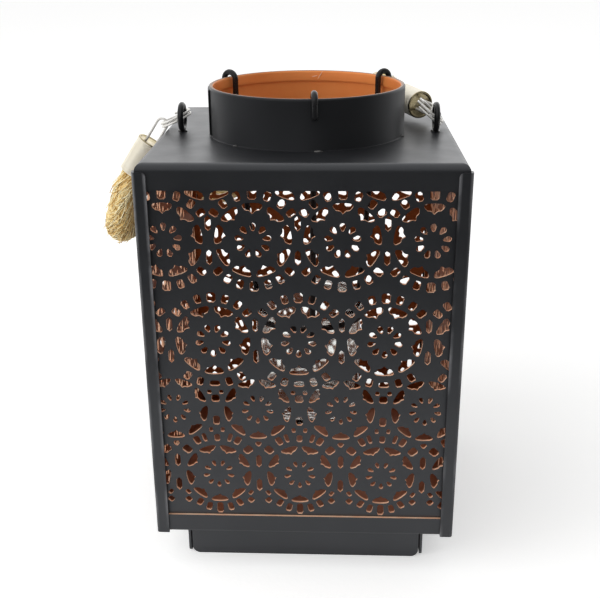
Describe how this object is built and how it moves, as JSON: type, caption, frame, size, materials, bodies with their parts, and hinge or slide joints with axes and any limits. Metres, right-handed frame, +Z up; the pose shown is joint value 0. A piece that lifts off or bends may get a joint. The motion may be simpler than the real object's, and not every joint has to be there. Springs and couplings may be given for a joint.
{
  "type": "lantern",
  "caption": "Square punched tin lantern with lace-cut walls, a round open collar, a glass candle cup on a hooked wire hanger and a rope handle.",
  "frame": {"origin": "centre of the plinth's underside, on the floor", "axes": "+Z up, -Y out of the front wall, +X to the right seen from the front"},
  "size_m": [0.1874, 0.1792, 0.2408],
  "materials": {
    "black_tin": "satin black paint, copper inside",
    "black_wire": "satin",
    "ring_steel": "bright",
    "ferrule_metal": "satin nickel",
    "jute": "twisted natural fibre",
    "clear_glass": "clear, faintly green"
  },
  "bodies": {
    "lantern": {"front_panel": "black_tin", "right_panel": "black_tin", "back_panel": "black_tin", "left_panel": "black_tin", "post_front_left": "black_tin", "post_front_right": "black_tin", "post_back_right": "black_tin", "post_back_left": "black_tin", "top_cap": "black_tin", "bottom_pan": "black_tin", "plinth": "black_tin", "collar": "black_tin", "left_eyelet": "black_tin", "right_eyelet": "black_tin"},
    "handle": {"left_split_ring": "ring_steel", "right_split_ring": "ring_steel", "left_ferrule_eye": "ring_steel", "right_ferrule_eye": "ring_steel", "left_ferrule": "ferrule_metal", "right_ferrule": "ferrule_metal", "rope": "jute"},
    "hanger": {"hanger_ring": "black_wire", "hook_front": "black_wire", "hook_back_right": "black_wire", "hook_back_left": "black_wire"},
    "cup": {"glass_cup": "clear_glass"}
  },
  "joints": [
    {"name": "handle_swing", "type": "hinge", "parent": "lantern", "child": "handle", "pos_m": [0, 0, 0.2202], "axis": [1, 0, 0], "range_deg": [0, 162]},
    {"name": "hanger_lift", "type": "slide", "parent": "lantern", "child": "hanger", "axis": [0, 0, 1], "range_m": [0, 0.19]},
    {"name": "cup_lift", "type": "slide", "parent": "hanger", "child": "cup", "axis": [0, 0, 1], "range_m": [0, 0.19]}
  ]
}
